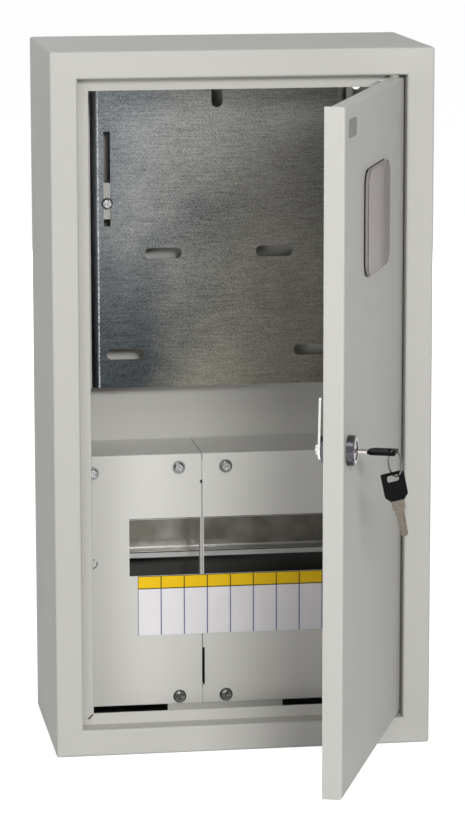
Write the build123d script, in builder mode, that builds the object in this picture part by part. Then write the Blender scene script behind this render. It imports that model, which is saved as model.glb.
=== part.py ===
from build123d import *
import os
from math import cos, radians, sin

# Wall-mounted steel meter and distribution enclosure, shown with its door open.
# X runs to the right, Y towards the wall and Z up. The origin is the middle of the
# back face, at the centre of the four wall-fixing holes. Millimetres throughout.

# Case
case_width = 280.0
case_height = 520.0
case_depth = 150.0
case_sheet = 1.2
fold_radius = 2.0
frame_border = 20.0
rebate_depth = 16.8
stop_width = 9.6
stop_width_bottom = 8.2
stop_fold_radius = 1.0
corner_slit_length = 5.0
corner_slit_width = 1.2
fixing_pitch_x = 220.0
fixing_pitch_z = 440.0
fixing_hole = 7.0
knockout_diameter = 32.0
knockout_pitch = 75.0
knockout_count = 3
score_width = 0.9
score_depth = 0.5

# Door and hinge
door_open_angle = 69.0
door_sheet = 1.2
door_depth = 14.0
door_end_flange = 9.6
hinge_lug = 26.0
door_gap = 2.2
hinge_inset = 6.5
hinge_setback = 6.5
hinge_pin_diameter = 5.0
hinge_pin_head_diameter = 9.0
hinge_pin_head_height = 2.0
hinge_pin_reach = 6.0
hinge_pin_chamfer = 0.6
hinge_washer_diameter = 7.6
pin_running_clearance = 0.05
pin_seat_clearance = 0.02
washer_bore_clearance = 0.1

# Window in the door
window_width = 88.0
window_height = 75.0
window_radius = 12.0
window_from_free_edge = 117.0
window_from_top = 87.8
pane_thickness = 2.0
pane_margin = 8.0
lens_gap = 0.4
lens_proud = 3.2
lens_edge_radius = 1.0

# Cam lock
lock_from_free_edge = 18.0
lock_z = 3.2
collar_diameter = 21.5
collar_height = 5.5
collar_taper = 5.0
collar_rim_chamfer = 0.8
lock_thread_diameter = 18.0
lock_across_flats = 16.0
lock_hole_clearance = 0.2
lock_nut_across_flats = 24.0
lock_nut_thickness = 4.0
plug_diameter = 13.0
plug_recess = 0.5
plug_clearance = 0.05
cam_clearance = 0.3
cam_gap = 0.6
cam_thickness = 1.6
cam_width = 14.0
cam_tip_width = 6.0
cam_hub_diameter = 15.0
cam_reach = 36.0
cam_tip_radius = 2.0
drive_square = 7.0
drive_clearance = 0.1
cam_screw_diameter = 4.0
cam_screw_length = 6.0
cam_screw_head_across_flats = 7.0
cam_screw_head_height = 1.8
cam_screw_flange_diameter = 9.0
cam_screw_flange_height = 0.5

# Keys and split ring
blade_width = 7.0
blade_tip_width = 4.6
blade_thickness = 1.6
blade_insert = 17.0
blade_exposed = 7.9
blade_tang = 8.0
blade_shoulder_width = 8.6
blade_shoulder_length = 6.0
blade_tip_chamfer = 1.5
blade_groove_width = 1.4
blade_groove_depth = 0.35
blade_groove_offset = 0.9
blade_groove_end = 1.0
bitting_depth = 1.1
bitting_pitch = 3.0
bitting_count = 4
keyway_clearance = 0.2
bow_width = 16.0
bow_length = 20.0
bow_thickness = 2.4
bow_shoulder = 3.5
bow_corner_radius = 1.2
bow_edge_chamfer = 0.5
bow_bar = 2.0
bow_slot_length = 8.4
bow_slot_width = 4.6
bow_slot_radius = 1.5
ring_inner_radius = 8.7
ring_wire = 0.8
ring_width = 1.4
ring_edge_chamfer = 0.25
ring_groove = 0.25
ring_turn_angle = 51.0
ring_lift = 0.7
ring_shift = 0.2
ring_side_shift = 3.0
spare_drop = 0.8
spare_tilt = 12.0
spare_side_shift = 2.0

# Meter plate
plate_stand_off = 25.0
plate_sheet = 1.0
plate_width = 194.0
plate_from_top = 16.0
plate_above_covers = 45.0
plate_flange = 10.0
plate_fold_radius = 5.0
meter_slot_length = 28.4
meter_slot_width = 8.2
meter_slot_upper_x = 42.7
meter_slot_upper_rise = 102.7
meter_slot_lower_inset = 25.0
meter_slot_lower_rise = 25.8
hook_slot_x = -1.2
hook_slot_drop = 23.0
hook_slot_length = 28.0
hook_slot_width = 8.4
guide_slot_inset = 11.8
guide_slot_drop = 54.2
guide_slot_length = 71.8
guide_slot_width = 5.1
plate_screw_rise = 17.6
plate_screw_diameter = 4.0
plate_screw_head = 8.4
plate_screw_head_height = 2.8
plate_screw_length = 10.0
plate_bracket_above = 15.4
plate_bracket_below = 12.2
plate_bracket_inset = 6.0
plate_bracket_width = 13.0
post_gap = 0.9
post_flange = 5.0
post_drop = 23.2
post_corner = 2.0

# Brackets folded from strip
bracket_sheet = 1.0
bracket_foot = 12.0

# Cover panels over the breakers
cover_front = 65.0
cover_sheet = 1.0
cover_fold_radius = 1.4
cover_top_height = 209.1
cover_bottom_height = 14.7
cover_half_width = 112.0
cover_wall_gap = 0.8
seam_x = -19.2
seam_gap = 0.6
seam_flange = 8.0
seam_flange_gap = 1.0
seam_slit_rise = 13.9
seam_slit_height = 29.4
seam_slit_depth = 1.5
seam_relief_drop = 21.8
seam_relief_diameter = 2.6
breaker_left = -74.9
breaker_right = 89.0
breaker_rise = 100.8
breaker_height = 44.5
seal_knockout_x = -102.8
seal_knockout_rise = 10.7
seal_knockout_diameter = 7.4
seal_knockout_slot = 0.8
seal_knockout_bridge = 2.0
cover_screw_diameter = 4.0
cover_screw_hole = 4.6
cover_screw_head = 7.8
cover_screw_head_height = 2.6
cover_screw_length = 9.0
cover_washer_diameter = 10.0
cover_washer_thickness = 0.8
cover_screw_left_x = -36.9
cover_screw_right_x = -1.1
cover_screw_top_drop = 10.1
cover_screw_bottom_rise = 5.7
cover_screw_side_x = 102.3
cover_screw_side_drop = 12.8
cover_bracket_width = 86.4
cover_bracket_drop = 4.0
cover_bracket_height = 15.0
cover_bracket_bottom_x = -1.6
cover_bracket_bottom_width = 89.0
cover_bracket_bottom_margin = 6.0
cover_bracket_bottom_foot = 24.0
cover_tab_width = 16.0

# Label strip under the breaker window
label_left = -68.6
label_field_width = 17.75
label_field_count = 9
label_height = 46.0
label_thickness = 0.3
label_gap = 0.2

# Mounting rail
rail_front = 24.0
rail_height = 35.0
rail_depth = 15.0
rail_base = 27.0
rail_sheet = 1.0
rail_length = 200.0
rail_support_x = 88.0
rail_support_width = 24.0
rail_support_height = 20.0
rail_screw_diameter = 5.0
rail_screw_head = 9.0
rail_screw_head_height = 3.0
rail_screw_length = 8.0

# Earth and neutral bars
bar_x = 47.0
bar_length = 100.0
bar_height = 10.0
bar_depth = 8.0
bar_hole = 5.0
bar_hole_pitch = 12.0
bar_hole_count = 6
bar_fixing_pitch = 86.0
bar_screw_diameter = 4.0
bar_screw_head = 7.0
bar_screw_head_height = 2.4
bar_screw_length = 6.0
earth_bar_height = 70.0
earth_spacer_diameter = 9.0
earth_spacer_length = 12.0
neutral_bar_height = 40.0
insulator_width = 16.0
insulator_length = 20.0
insulator_waist = 1.6

# Earth stud
stud_x = -85.0
stud_height = 45.0
stud_diameter = 6.0
stud_length = 18.0
stud_nut_across_flats = 10.0
stud_nut_height = 5.0
stud_washer_diameter = 12.0
stud_washer_thickness = 1.6
stud_bore_clearance = 0.1

screw_hole_clearance = 0.1
cross_recess_share = 0.62
cross_recess_width = 1.0
cross_recess_depth = 1.1
head_chamfer_share = 0.4

# Worked out from the sizes above
opening_width = case_width - 2 * frame_border
opening_height = case_height - 2 * frame_border
inside_width = case_width - 2 * case_sheet
inside_height = case_height - 2 * case_sheet
stop_rear = case_depth - rebate_depth - case_sheet
clear_width = opening_width - 2 * stop_width
clear_height = opening_height - stop_width - stop_width_bottom
clear_z = (stop_width_bottom - stop_width) / 2
case_base = -case_height / 2
case_floor = case_base + case_sheet
hinge_x = opening_width / 2 - door_gap - hinge_inset
hinge_y = hinge_setback - case_depth
hinge_pin_radius = hinge_pin_diameter / 2

# The door's plane passes through the hinge axis. Its local X runs along the door to the
# hinge edge, its local Y is up and its normal points out of the door's face.
swing = radians(door_open_angle)
door_along = Vector(cos(swing), sin(swing), 0)
door_out = Vector(sin(swing), -cos(swing), 0)
door_plane = Plane(origin=(hinge_x, hinge_y, 0), x_dir=door_along, z_dir=door_out)
door_width = opening_width - 2 * door_gap
door_height = opening_height - 2 * door_gap
door_free_edge = hinge_inset - door_width
door_middle = hinge_inset - door_width / 2
door_inner_edge = hinge_setback - door_depth
door_inner_face = hinge_setback - door_sheet
door_end_cut = door_width - door_sheet - hinge_lug
window_spot = (door_free_edge + window_from_free_edge, door_height / 2 - window_from_top)
lens_width = window_width - 2 * lens_gap
lens_height = window_height - 2 * lens_gap
lens_radius = window_radius - lens_gap

lock_x = door_free_edge + lock_from_free_edge
lock_spot = (lock_x, lock_z)
collar_front = hinge_setback + collar_height
plug_front = collar_front - plug_recess
cam_front = hinge_setback - rebate_depth - case_sheet - cam_clearance
cam_rear = cam_front - cam_thickness
lock_rear = cam_front + cam_gap
keyway_rear = plug_front - blade_insert - keyway_clearance

bow_inner_end = collar_front + blade_exposed
bow_outer_end = bow_inner_end + bow_length
bow_bar_centre = bow_outer_end - bow_bar / 2
bow_slot_centre = bow_outer_end - bow_bar - bow_slot_width / 2
blade_tip = plug_front - blade_insert
blade_end = bow_inner_end + blade_tang
blade_flare = (blade_width - blade_tip_width) / (bow_inner_end - blade_tip)

# The key lies flat: local X points out of the lock and local Y along the door.
lock_axis_point = door_plane.from_local_coords(Vector(lock_x, lock_z, 0))
key_plane = Plane(origin=lock_axis_point, x_dir=door_out, z_dir=(0, 0, 1))

# The split ring hangs upright round the end bar of the key's bow, turned off square.
ring_heading = radians(door_open_angle - 90 - ring_turn_angle)
ring_along = Vector(cos(ring_heading), sin(ring_heading), 0)
bar_point = lock_axis_point + door_out * bow_bar_centre
ring_rise = bow_thickness / 2 + ring_lift - ring_inner_radius
ring_place = bar_point + door_out * ring_shift - door_along * ring_side_shift
ring_centre = ring_place + Vector(0, 0, ring_rise)
ring_plane = Plane(origin=ring_centre, x_dir=ring_along, z_dir=(0, 0, 1))

# The spare key hangs from the bottom of the ring, off its own middle, so it leans a little.
lean = radians(spare_tilt)
spare_up = Vector(-sin(lean), 0, cos(lean))
spare_across = Vector(cos(lean), 0, sin(lean))
spare_hung_at = ring_centre + Vector(0, 0, spare_drop + bow_bar / 2 - ring_inner_radius)
spare_bar_point = spare_hung_at - spare_across * spare_side_shift
spare_plane = Plane(
    origin=spare_bar_point - spare_up * bow_bar_centre,
    x_dir=spare_up,
    z_dir=(0, -1, 0),
)

cover_rear = cover_front - cover_sheet
cover_top = case_base + cover_top_height
cover_bottom = case_base + cover_bottom_height
seam_left_edge = seam_x - seam_gap / 2
seam_right_edge = seam_x + seam_gap / 2
seam_relief_z = cover_top - seam_relief_drop
seam_slit_bottom = cover_bottom + seam_slit_rise
breaker_bottom = cover_bottom + breaker_rise
breaker_z = breaker_bottom + breaker_height / 2
cover_screw_top_z = cover_top - cover_screw_top_drop
cover_screw_bottom_z = cover_bottom + cover_screw_bottom_rise
cover_screw_side_z = cover_top - cover_screw_side_drop
left_cover_spots = [
    (-cover_screw_side_x, cover_screw_side_z),
    (cover_screw_left_x, cover_screw_top_z),
    (cover_screw_left_x, cover_screw_bottom_z),
]
right_cover_spots = [
    (cover_screw_side_x, cover_screw_side_z),
    (cover_screw_right_x, cover_screw_top_z),
    (cover_screw_right_x, cover_screw_bottom_z),
]
cover_spots = left_cover_spots + right_cover_spots
web_top = cover_top - cover_sheet - cover_bracket_drop
web_bottom = web_top - cover_bracket_height
bottom_web_top = cover_screw_bottom_z + cover_bracket_bottom_margin
seam_flange_top = seam_relief_z - seam_relief_diameter / 2
seam_flange_bottom = bottom_web_top + seam_flange_gap

plate_top = case_height / 2 - plate_from_top
plate_bottom = cover_top + plate_above_covers
plate_height = plate_top - plate_bottom
plate_rear = plate_stand_off - plate_sheet
guide_slot_x = plate_width / 2 - guide_slot_inset
guide_slot_top = plate_top - guide_slot_drop
guide_slot_bottom = guide_slot_top - guide_slot_length
plate_screw_z = guide_slot_bottom + plate_screw_rise
plate_bracket_bottom = plate_screw_z - plate_bracket_below
plate_bracket_height = plate_bracket_above + plate_bracket_below
plate_spots = [(-guide_slot_x, plate_screw_z), (guide_slot_x, plate_screw_z)]
post_top = plate_top - post_drop

rail_z = breaker_z
rail_rear = rail_front - rail_depth
rail_spots = [(-rail_support_x, rail_z), (rail_support_x, rail_z)]
earth_bar_z = case_base + earth_bar_height
neutral_bar_z = case_base + neutral_bar_height
stud_z = case_base + stud_height

os.makedirs("parts", exist_ok=True)


def write(piece, name):
    """Labels a finished piece and writes it under its own name."""
    piece.part.label = name
    export_step(piece.part, f"parts/{name}.step")


def front_screws(spots, seat, head, head_height, shank, length):
    """Pan-head screws with a cross recess, all driven from the front at one seat."""
    with BuildPart() as screws:
        with BuildSketch(Plane.XZ.offset(seat)):
            with Locations(*spots):
                Circle(head / 2)
        extrude(amount=head_height)
        chamfer(screws.edges().group_by(Axis.Y)[0], length=head_height * head_chamfer_share)
        with BuildSketch(Plane.XZ.offset(seat - length)):
            with Locations(*spots):
                Circle(shank / 2)
        extrude(amount=length)
        with BuildSketch(Plane.XZ.offset(seat + head_height - cross_recess_depth)):
            with Locations(*spots):
                Rectangle(head * cross_recess_share, cross_recess_width)
                Rectangle(cross_recess_width, head * cross_recess_share)
        extrude(amount=cross_recess_depth, mode=Mode.SUBTRACT)
    return screws


# Case: a folded box whose front frame turns in to a rebate and a stop for the door.
with BuildPart() as body_shell:
    with BuildSketch(Plane.XZ):
        Rectangle(case_width, case_height)
    extrude(amount=case_depth)
    fillet(body_shell.edges(), radius=fold_radius)
    with BuildSketch(Plane.XZ.offset(case_sheet)):
        RectangleRounded(inside_width, inside_height, fold_radius - case_sheet)
    extrude(amount=case_depth - 2 * case_sheet, mode=Mode.SUBTRACT)
    with BuildSketch(Plane.XZ.offset(case_depth - case_sheet)):
        Rectangle(opening_width, opening_height)
    extrude(amount=case_sheet, mode=Mode.SUBTRACT)
    with BuildSketch(Plane.XZ.offset(stop_rear)):
        Rectangle(opening_width + 2 * case_sheet, opening_height + 2 * case_sheet)
        Rectangle(opening_width, opening_height, mode=Mode.SUBTRACT)
    extrude(amount=case_depth - stop_rear)
    with BuildSketch(Plane.XZ.offset(stop_rear)):
        Rectangle(opening_width + case_sheet, opening_height + case_sheet)
        with Locations((0, clear_z)):
            Rectangle(clear_width, clear_height, mode=Mode.SUBTRACT)
    extrude(amount=case_sheet)
    frame_face = body_shell.faces().sort_by(Axis.Y)[0]
    fillet(frame_face.inner_wires()[0].edges(), radius=fold_radius)
    stop_edges = body_shell.edges().filter_by_position(
        Axis.Y, -stop_rear - case_sheet, -stop_rear - case_sheet
    )
    fillet(stop_edges.sort_by(Edge.length)[-4:], radius=stop_fold_radius)
    # The stop's lower mitred corners stay open for a short way.
    for side in (-1, 1):
        slit_x = side * (clear_width + corner_slit_length) / 2
        slit_z = clear_z - (clear_height + corner_slit_length) / 2
        with BuildSketch(Plane.XZ.offset(stop_rear)):
            with Locations((slit_x, slit_z)):
                SlotOverall(corner_slit_length, corner_slit_width, rotation=-45 * side)
        extrude(amount=case_sheet, mode=Mode.SUBTRACT)
    with BuildSketch(Plane.XZ):
        with GridLocations(fixing_pitch_x, fixing_pitch_z, 2, 2):
            Circle(fixing_hole / 2)
    extrude(amount=case_sheet, mode=Mode.SUBTRACT)
    with BuildSketch(Plane.XY.offset(case_base)):
        with Locations((0, -case_depth / 2)):
            with GridLocations(knockout_pitch, 0, knockout_count, 1):
                Circle(knockout_diameter / 2)
                Circle(knockout_diameter / 2 - score_width, mode=Mode.SUBTRACT)
    extrude(amount=score_depth, mode=Mode.SUBTRACT)
    for wall_z, outward in ((opening_height / 2, 1), (-opening_height / 2, -1)):
        with BuildSketch(Plane.XY.offset(wall_z)):
            with Locations((hinge_x, hinge_y)):
                Circle(hinge_pin_radius + pin_seat_clearance)
        extrude(amount=outward * case_sheet, mode=Mode.SUBTRACT)
write(body_shell, "body_shell")

# Hinge: a headed pin through the rebate at each end of the door, on a plastic washer.
for end, name in ((1, "hinge_pin_top"), (-1, "hinge_pin_bottom")):
    head_z = end * (opening_height / 2 + case_sheet)
    tip_z = end * (door_height / 2 - door_sheet - hinge_pin_reach)
    with BuildPart() as hinge_pin:
        with BuildSketch(Plane.XY.offset(head_z)):
            with Locations((hinge_x, hinge_y)):
                Circle(hinge_pin_head_diameter / 2)
        extrude(amount=end * hinge_pin_head_height)
        with BuildSketch(Plane.XY.offset(tip_z)):
            with Locations((hinge_x, hinge_y)):
                Circle(hinge_pin_radius)
        extrude(amount=head_z - tip_z)
        rims = hinge_pin.edges().filter_by(GeomType.CIRCLE)
        chamfer(rims.sort_by_distance((hinge_x, hinge_y, tip_z))[0], length=hinge_pin_chamfer)
    write(hinge_pin, name)

with BuildPart() as hinge_washers:
    for end in (1, -1):
        with BuildSketch(Plane.XY.offset(end * opening_height / 2)):
            with Locations((hinge_x, hinge_y)):
                Circle(hinge_washer_diameter / 2)
                Circle(hinge_pin_radius + washer_bore_clearance, mode=Mode.SUBTRACT)
        extrude(amount=-end * door_gap)
write(hinge_washers, "hinge_washers")

# Door: a shallow pan with all four edges folded back, less deep at its two ends than
# along its sides except where the hinge pins go in.
with BuildPart() as door_panel:
    with BuildSketch(door_plane.offset(door_inner_edge)):
        with Locations((door_middle, 0)):
            Rectangle(door_width, door_height)
    extrude(amount=door_depth)
    face = door_panel.faces().sort_by(Axis(door_plane.origin, door_out))[-1]
    fillet(face.edges(), radius=fold_radius)
    with BuildSketch(door_plane.offset(door_inner_edge)):
        with Locations((door_middle, 0)):
            Rectangle(door_width - 2 * door_sheet, door_height - 2 * door_sheet)
    extrude(amount=door_depth - door_sheet, mode=Mode.SUBTRACT)
    with BuildSketch(door_plane.offset(door_inner_edge)):
        with Locations((door_free_edge + door_sheet, 0)):
            with GridLocations(0, door_height - door_sheet, 1, 2):
                Rectangle(door_end_cut, door_sheet, align=(Align.MIN, Align.CENTER))
    extrude(amount=door_depth - door_end_flange, mode=Mode.SUBTRACT)
    with BuildSketch(door_plane.offset(door_inner_face)):
        with Locations(window_spot):
            RectangleRounded(window_width, window_height, window_radius)
    extrude(amount=door_sheet, mode=Mode.SUBTRACT)
    with BuildSketch(door_plane.offset(door_inner_face)):
        with Locations(lock_spot):
            Circle(lock_thread_diameter / 2 + lock_hole_clearance)
            Rectangle(
                lock_across_flats + 2 * lock_hole_clearance,
                2 * lock_thread_diameter,
                mode=Mode.INTERSECT,
            )
    extrude(amount=door_sheet, mode=Mode.SUBTRACT)
    for end in (1, -1):
        with BuildSketch(Plane.XY.offset(end * door_height / 2)):
            with Locations((hinge_x, hinge_y)):
                Circle(hinge_pin_radius + pin_running_clearance)
        extrude(amount=-end * door_sheet, mode=Mode.SUBTRACT)
write(door_panel, "door_panel")

# Window: a clear moulded lens that stands proud of the door, with a rim behind the sheet.
with BuildPart() as window_pane:
    with BuildSketch(door_plane.offset(door_inner_face)):
        with Locations(window_spot):
            RectangleRounded(
                window_width + 2 * pane_margin,
                window_height + 2 * pane_margin,
                window_radius,
            )
    extrude(amount=-pane_thickness)
    with BuildSketch(door_plane.offset(door_inner_face)):
        with Locations(window_spot):
            RectangleRounded(lens_width, lens_height, lens_radius)
    extrude(amount=door_sheet + lens_proud)
    lens_face = window_pane.faces().sort_by(Axis(door_plane.origin, door_out))[-1]
    fillet(lens_face.edges(), radius=lens_edge_radius)
    with BuildSketch(door_plane.offset(door_inner_face - pane_thickness)):
        with Locations(window_spot):
            RectangleRounded(
                lens_width - 2 * pane_thickness,
                lens_height - 2 * pane_thickness,
                lens_radius - pane_thickness,
            )
    extrude(amount=door_sheet + lens_proud, mode=Mode.SUBTRACT)
write(window_pane, "window_pane")

# Cam lock: flatted barrel with a tapered collar, nut, plug, cam and the cam's screw.
with BuildPart() as lock_body:
    with BuildSketch(door_plane.offset(lock_rear)):
        with Locations(lock_spot):
            Circle(lock_thread_diameter / 2)
            Rectangle(lock_across_flats, 2 * lock_thread_diameter, mode=Mode.INTERSECT)
    extrude(amount=hinge_setback - lock_rear)
    with BuildSketch(door_plane.offset(hinge_setback)):
        with Locations(lock_spot):
            Circle(collar_diameter / 2)
    extrude(amount=collar_height - collar_rim_chamfer, taper=collar_taper)
    rim = lock_body.faces().sort_by(Axis(door_plane.origin, door_out))[-1]
    extrude(rim, amount=collar_rim_chamfer, taper=45)
    with BuildSketch(door_plane.offset(lock_rear)):
        with Locations(lock_spot):
            Circle(plug_diameter / 2 + plug_clearance)
    extrude(amount=collar_front - lock_rear, mode=Mode.SUBTRACT)
write(lock_body, "lock_body")

with BuildPart() as lock_nut:
    with BuildSketch(door_plane.offset(door_inner_face)):
        with Locations(lock_spot):
            RegularPolygon(lock_nut_across_flats / 2, side_count=6, major_radius=False)
            Circle(lock_thread_diameter / 2 + lock_hole_clearance, mode=Mode.SUBTRACT)
    extrude(amount=-lock_nut_thickness)
write(lock_nut, "lock_nut")

with BuildPart() as lock_plug:
    with BuildSketch(door_plane.offset(cam_front)):
        with Locations(lock_spot):
            Circle(plug_diameter / 2)
    extrude(amount=plug_front - cam_front)
    with BuildSketch(door_plane.offset(cam_rear)):
        with Locations(lock_spot):
            Rectangle(drive_square, drive_square)
    extrude(amount=cam_thickness)
    with BuildSketch(door_plane.offset(keyway_rear)):
        with Locations(lock_spot):
            Rectangle(blade_width + 2 * keyway_clearance, blade_thickness + 2 * keyway_clearance)
    extrude(amount=plug_front - keyway_rear, mode=Mode.SUBTRACT)
    with BuildSketch(door_plane.offset(cam_rear)):
        with Locations(lock_spot):
            Circle(cam_screw_diameter / 2 + screw_hole_clearance)
    extrude(amount=cam_screw_length, mode=Mode.SUBTRACT)
write(lock_plug, "lock_plug")

with BuildPart() as lock_cam:
    with BuildSketch(door_plane.offset(cam_rear)) as cam_outline:
        Polygon(
            (lock_x - cam_width / 2, lock_z),
            (lock_x + cam_width / 2, lock_z),
            (lock_x + cam_tip_width / 2, lock_z + cam_reach),
            (lock_x - cam_tip_width / 2, lock_z + cam_reach),
            align=None,
        )
        fillet(cam_outline.vertices().group_by(Axis.Y)[-1], radius=cam_tip_radius)
        with Locations(lock_spot):
            Circle(cam_hub_diameter / 2)
            Rectangle(
                drive_square + 2 * drive_clearance,
                drive_square + 2 * drive_clearance,
                mode=Mode.SUBTRACT,
            )
    extrude(amount=cam_thickness)
write(lock_cam, "lock_cam")

with BuildPart() as cam_screw:
    with BuildSketch(door_plane.offset(cam_rear)):
        with Locations(lock_spot):
            Circle(cam_screw_flange_diameter / 2)
    extrude(amount=-cam_screw_flange_height)
    with BuildSketch(door_plane.offset(cam_rear - cam_screw_flange_height)):
        with Locations(lock_spot):
            RegularPolygon(cam_screw_head_across_flats / 2, side_count=6, major_radius=False)
    extrude(amount=-cam_screw_head_height)
    with BuildSketch(door_plane.offset(cam_rear)):
        with Locations(lock_spot):
            Circle(cam_screw_diameter / 2)
    extrude(amount=cam_screw_length - drive_clearance)
write(cam_screw, "cam_screw")


# Keys: a grooved blade that narrows to its tip, cut along one edge, in a plastic bow.
def blade_half_width(x):
    """Half the blade's width at a place along it."""
    return (blade_tip_width + blade_flare * (x - blade_tip)) / 2


def key_blade_on(plane):
    """The blade, lying in the plane with its tip towards the lock."""
    with BuildPart() as blade:
        with BuildSketch(plane.offset(-blade_thickness / 2)) as outline:
            Polygon(
                (blade_tip, -blade_half_width(blade_tip)),
                (bow_inner_end, -blade_half_width(bow_inner_end)),
                (bow_inner_end, blade_half_width(bow_inner_end)),
                (blade_tip, blade_half_width(blade_tip)),
                align=None,
            )
            chamfer(outline.vertices().group_by(Axis.X)[0], length=blade_tip_chamfer)
            with Locations((bow_inner_end - blade_shoulder_length, 0)):
                Rectangle(
                    blade_shoulder_length + blade_tang,
                    blade_shoulder_width,
                    align=(Align.MIN, Align.CENTER),
                )
            for cut in range(bitting_count):
                cut_x = blade_tip + blade_insert / 2 + bitting_pitch * (cut - (bitting_count - 1) / 2)
                with Locations((cut_x, blade_half_width(cut_x))):
                    RegularPolygon(bitting_depth, side_count=4, mode=Mode.SUBTRACT)
        extrude(amount=blade_thickness)
        for face in (-1, 1):
            with BuildSketch(plane.offset(face * blade_thickness / 2)):
                with Locations((blade_tip, -blade_groove_offset)):
                    Rectangle(
                        bow_inner_end - blade_groove_end - blade_tip,
                        blade_groove_width,
                        align=(Align.MIN, Align.CENTER),
                    )
            extrude(amount=-face * blade_groove_depth, mode=Mode.SUBTRACT)
    return blade


def key_bow_on(plane, blade):
    """The bow with a slot behind its end bar and a pocket that the blade fills."""
    with BuildPart() as bow:
        with BuildSketch(plane.offset(-bow_thickness / 2)) as outline:
            with Locations((bow_inner_end, 0)):
                Rectangle(bow_length, bow_width, align=(Align.MIN, Align.CENTER))
            chamfer(outline.vertices().group_by(Axis.X)[0], length=bow_shoulder)
            fillet(outline.vertices(), radius=bow_corner_radius)
        extrude(amount=bow_thickness)
        with BuildSketch(plane.offset(-bow_thickness / 2)):
            with Locations((bow_slot_centre, 0)):
                RectangleRounded(bow_slot_width, bow_slot_length, bow_slot_radius)
        extrude(amount=bow_thickness, mode=Mode.SUBTRACT)
        rims = bow.faces().filter_by(Axis((0, 0, 0), plane.z_dir))
        chamfer(rims.edges(), length=bow_edge_chamfer)
        add(blade.part, mode=Mode.SUBTRACT)
    return bow


key_blade = key_blade_on(key_plane)
write(key_blade, "key_blade")
key_bow = key_bow_on(key_plane, key_blade)
write(key_bow, "key_bow")

# Split ring: two turns of flat wire side by side, with a groove where they meet.
with BuildPart() as key_ring:
    with BuildSketch(ring_plane) as ring_section:
        with Locations((ring_inner_radius + ring_wire / 2, 0)):
            Rectangle(ring_wire, ring_width)
            chamfer(ring_section.vertices(), length=ring_edge_chamfer)
            with GridLocations(ring_wire, 0, 2, 1):
                RegularPolygon(ring_groove, side_count=4, mode=Mode.SUBTRACT)
    revolve(axis=Axis(ring_centre, ring_plane.y_dir))
write(key_ring, "key_ring")

spare_key_blade = key_blade_on(spare_plane)
write(spare_key_blade, "spare_key_blade")
spare_key_bow = key_bow_on(spare_plane, spare_key_blade)
write(spare_key_bow, "spare_key_bow")

# Meter plate: galvanised sheet with its sides folded back, slotted for meters.
with BuildPart() as meter_plate:
    with BuildSketch(Plane.XY.offset(plate_bottom)):
        with BuildSketch() as folded:
            with Locations((0, -plate_stand_off)):
                Rectangle(plate_width, plate_flange, align=(Align.CENTER, Align.MIN))
            fillet(folded.vertices().group_by(Axis.Y)[0], radius=plate_fold_radius)
        with BuildSketch(mode=Mode.SUBTRACT) as hollow:
            with Locations((0, -plate_rear)):
                Rectangle(
                    plate_width - 2 * plate_sheet,
                    plate_flange,
                    align=(Align.CENTER, Align.MIN),
                )
            fillet(hollow.vertices().group_by(Axis.Y)[0], radius=plate_fold_radius - plate_sheet)
    extrude(amount=plate_height)
    with BuildSketch(Plane.XZ.offset(plate_rear)):
        with Locations((0, plate_bottom + meter_slot_upper_rise)):
            with GridLocations(2 * meter_slot_upper_x, 0, 2, 1):
                SlotOverall(meter_slot_length, meter_slot_width)
        with Locations((0, plate_bottom + meter_slot_lower_rise)):
            with GridLocations(plate_width - 2 * meter_slot_lower_inset, 0, 2, 1):
                SlotOverall(meter_slot_length, meter_slot_width)
        with Locations((hook_slot_x, plate_top - hook_slot_drop)):
            SlotOverall(hook_slot_length, hook_slot_width, rotation=90)
        with Locations((0, guide_slot_top - guide_slot_length / 2)):
            with GridLocations(2 * guide_slot_x, 0, 2, 1):
                Rectangle(guide_slot_width, guide_slot_length)
    extrude(amount=plate_sheet, mode=Mode.SUBTRACT)
write(meter_plate, "meter_plate")

for side, name in ((-1, "plate_bracket_left"), (1, "plate_bracket_right")):
    outer = side * (plate_width / 2 - plate_bracket_inset)
    inner = outer - side * plate_bracket_width
    with BuildPart() as plate_bracket:
        with BuildSketch(Plane.XY.offset(plate_bracket_bottom)):
            with Locations(((inner + outer) / 2, bracket_sheet / 2 - plate_rear)):
                Rectangle(plate_bracket_width, bracket_sheet)
            with Locations((inner + side * bracket_sheet / 2, -(plate_rear + case_sheet) / 2)):
                Rectangle(bracket_sheet, plate_rear - case_sheet)
            with Locations((inner - side * bracket_foot / 2, -case_sheet - bracket_sheet / 2)):
                Rectangle(bracket_foot + 2 * bracket_sheet, bracket_sheet)
        extrude(amount=plate_bracket_height)
        with BuildSketch(Plane.XZ.offset(plate_rear - bracket_sheet)):
            with Locations((side * guide_slot_x, plate_screw_z)):
                Circle(plate_screw_diameter / 2 + screw_hole_clearance)
        extrude(amount=bracket_sheet, mode=Mode.SUBTRACT)
    write(plate_bracket, name)

plate_screws = front_screws(
    plate_spots,
    plate_stand_off,
    plate_screw_head,
    plate_screw_head_height,
    plate_screw_diameter,
    plate_screw_length,
)
write(plate_screws, "plate_screws")

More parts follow.
